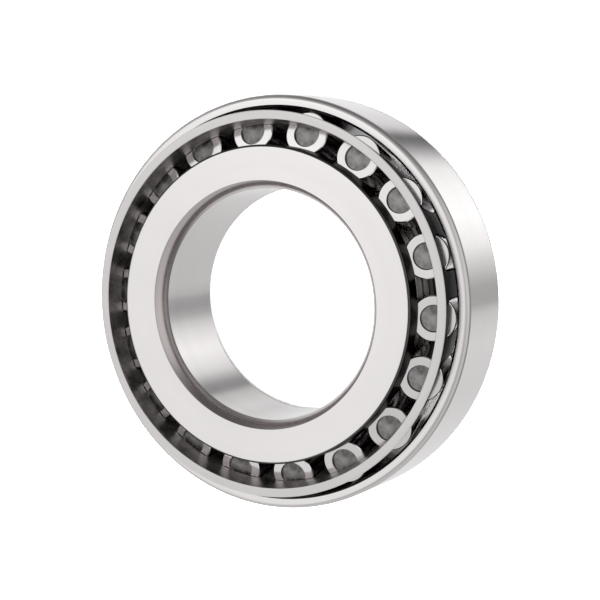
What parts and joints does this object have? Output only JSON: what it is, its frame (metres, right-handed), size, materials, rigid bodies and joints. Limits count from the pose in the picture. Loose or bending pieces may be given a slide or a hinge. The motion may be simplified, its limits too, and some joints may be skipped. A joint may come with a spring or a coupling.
{
  "type": "tapered roller bearing",
  "caption": "Single-row tapered roller bearing: a cup, a cone, a pressed steel cage and tapered rollers between the two rings.",
  "frame": {"origin": "centre of the cup's back face, on which the bearing lies", "axes": "+Z along the bearing's axis, towards the cone's back face and the rollers' large ends; roller_01 lies on +X"},
  "size_m": [0.09, 0.09, 0.0247],
  "materials": {
    "cup_steel": "ground bearing steel",
    "cone_steel": "ground bearing steel",
    "cage_steel": "satin pressed sheet steel",
    "roller_steel": "fine ground bearing steel"
  },
  "bodies": {
    "cup": {"cup": "cup_steel"},
    "cone": {"cone": "cone_steel"},
    "cage": {"cage": "cage_steel"},
    "roller_01": {"roller_01": "roller_steel"},
    "roller_02": {"roller_02": "roller_steel"},
    "roller_03": {"roller_03": "roller_steel"},
    "roller_04": {"roller_04": "roller_steel"},
    "roller_05": {"roller_05": "roller_steel"},
    "roller_06": {"roller_06": "roller_steel"},
    "roller_07": {"roller_07": "roller_steel"},
    "roller_08": {"roller_08": "roller_steel"},
    "roller_09": {"roller_09": "roller_steel"},
    "roller_10": {"roller_10": "roller_steel"},
    "roller_11": {"roller_11": "roller_steel"},
    "roller_12": {"roller_12": "roller_steel"},
    "roller_13": {"roller_13": "roller_steel"},
    "roller_14": {"roller_14": "roller_steel"},
    "roller_15": {"roller_15": "roller_steel"},
    "roller_16": {"roller_16": "roller_steel"},
    "roller_17": {"roller_17": "roller_steel"},
    "roller_18": {"roller_18": "roller_steel"}
  },
  "joints": [
    {"name": "cone_spin", "type": "hinge", "parent": "cup", "child": "cone", "pos_m": [0, 0, 0.01325], "axis": [0, 0, 1], "continuous": true},
    {"name": "cage_spin", "type": "hinge", "parent": "cup", "child": "cage", "pos_m": [0, 0, 0.0125], "axis": [0, 0, 1], "continuous": true},
    {"name": "roller_01_spin", "type": "hinge", "parent": "cage", "child": "roller_01", "pos_m": [0.03744, 0, 0.01953], "axis": [0.2392, 0, 0.971], "continuous": true},
    {"name": "roller_02_spin", "type": "hinge", "parent": "cage", "child": "roller_02", "pos_m": [0.03518, 0.01281, 0.01953], "axis": [0.2248, 0.0818, 0.971], "continuous": true},
    {"name": "roller_03_spin", "type": "hinge", "parent": "cage", "child": "roller_03", "pos_m": [0.02868, 0.02407, 0.01953], "axis": [0.1832, 0.1538, 0.971], "continuous": true},
    {"name": "roller_04_spin", "type": "hinge", "parent": "cage", "child": "roller_04", "pos_m": [0.01872, 0.03242, 0.01953], "axis": [0.1196, 0.2072, 0.971], "continuous": true},
    {"name": "roller_05_spin", "type": "hinge", "parent": "cage", "child": "roller_05", "pos_m": [0.0065, 0.03687, 0.01953], "axis": [0.0415, 0.2356, 0.971], "continuous": true},
    {"name": "roller_06_spin", "type": "hinge", "parent": "cage", "child": "roller_06", "pos_m": [-0.0065, 0.03687, 0.01953], "axis": [-0.0415, 0.2356, 0.971], "continuous": true},
    {"name": "roller_07_spin", "type": "hinge", "parent": "cage", "child": "roller_07", "pos_m": [-0.01872, 0.03242, 0.01953], "axis": [-0.1196, 0.2072, 0.971], "continuous": true},
    {"name": "roller_08_spin", "type": "hinge", "parent": "cage", "child": "roller_08", "pos_m": [-0.02868, 0.02407, 0.01953], "axis": [-0.1832, 0.1538, 0.971], "continuous": true},
    {"name": "roller_09_spin", "type": "hinge", "parent": "cage", "child": "roller_09", "pos_m": [-0.03518, 0.01281, 0.01953], "axis": [-0.2248, 0.0818, 0.971], "continuous": true},
    {"name": "roller_10_spin", "type": "hinge", "parent": "cage", "child": "roller_10", "pos_m": [-0.03744, 0, 0.01953], "axis": [-0.2392, 0, 0.971], "continuous": true},
    {"name": "roller_11_spin", "type": "hinge", "parent": "cage", "child": "roller_11", "pos_m": [-0.03518, -0.01281, 0.01953], "axis": [-0.2248, -0.0818, 0.971], "continuous": true},
    {"name": "roller_12_spin", "type": "hinge", "parent": "cage", "child": "roller_12", "pos_m": [-0.02868, -0.02407, 0.01953], "axis": [-0.1832, -0.1538, 0.971], "continuous": true},
    {"name": "roller_13_spin", "type": "hinge", "parent": "cage", "child": "roller_13", "pos_m": [-0.01872, -0.03242, 0.01953], "axis": [-0.1196, -0.2072, 0.971], "continuous": true},
    {"name": "roller_14_spin", "type": "hinge", "parent": "cage", "child": "roller_14", "pos_m": [-0.0065, -0.03687, 0.01953], "axis": [-0.0415, -0.2356, 0.971], "continuous": true},
    {"name": "roller_15_spin", "type": "hinge", "parent": "cage", "child": "roller_15", "pos_m": [0.0065, -0.03687, 0.01953], "axis": [0.0415, -0.2356, 0.971], "continuous": true},
    {"name": "roller_16_spin", "type": "hinge", "parent": "cage", "child": "roller_16", "pos_m": [0.01872, -0.03242, 0.01953], "axis": [0.1196, -0.2072, 0.971], "continuous": true},
    {"name": "roller_17_spin", "type": "hinge", "parent": "cage", "child": "roller_17", "pos_m": [0.02868, -0.02407, 0.01953], "axis": [0.1832, -0.1538, 0.971], "continuous": true},
    {"name": "roller_18_spin", "type": "hinge", "parent": "cage", "child": "roller_18", "pos_m": [0.03518, -0.01281, 0.01953], "axis": [0.2248, -0.0818, 0.971], "continuous": true}
  ],
  "couplings": [
    {"joint": "cage_spin", "follows": "cone_spin", "ratio": 0.4362},
    {"joint": "roller_01_spin", "follows": "cone_spin", "ratio": -3.743},
    {"joint": "roller_02_spin", "follows": "cone_spin", "ratio": -3.743},
    {"joint": "roller_03_spin", "follows": "cone_spin", "ratio": -3.743},
    {"joint": "roller_04_spin", "follows": "cone_spin", "ratio": -3.743},
    {"joint": "roller_05_spin", "follows": "cone_spin", "ratio": -3.743},
    {"joint": "roller_06_spin", "follows": "cone_spin", "ratio": -3.743},
    {"joint": "roller_07_spin", "follows": "cone_spin", "ratio": -3.743},
    {"joint": "roller_08_spin", "follows": "cone_spin", "ratio": -3.743},
    {"joint": "roller_09_spin", "follows": "cone_spin", "ratio": -3.743},
    {"joint": "roller_10_spin", "follows": "cone_spin", "ratio": -3.743},
    {"joint": "roller_11_spin", "follows": "cone_spin", "ratio": -3.743},
    {"joint": "roller_12_spin", "follows": "cone_spin", "ratio": -3.743},
    {"joint": "roller_13_spin", "follows": "cone_spin", "ratio": -3.743},
    {"joint": "roller_14_spin", "follows": "cone_spin", "ratio": -3.743},
    {"joint": "roller_15_spin", "follows": "cone_spin", "ratio": -3.743},
    {"joint": "roller_16_spin", "follows": "cone_spin", "ratio": -3.743},
    {"joint": "roller_17_spin", "follows": "cone_spin", "ratio": -3.743},
    {"joint": "roller_18_spin", "follows": "cone_spin", "ratio": -3.743}
  ]
}
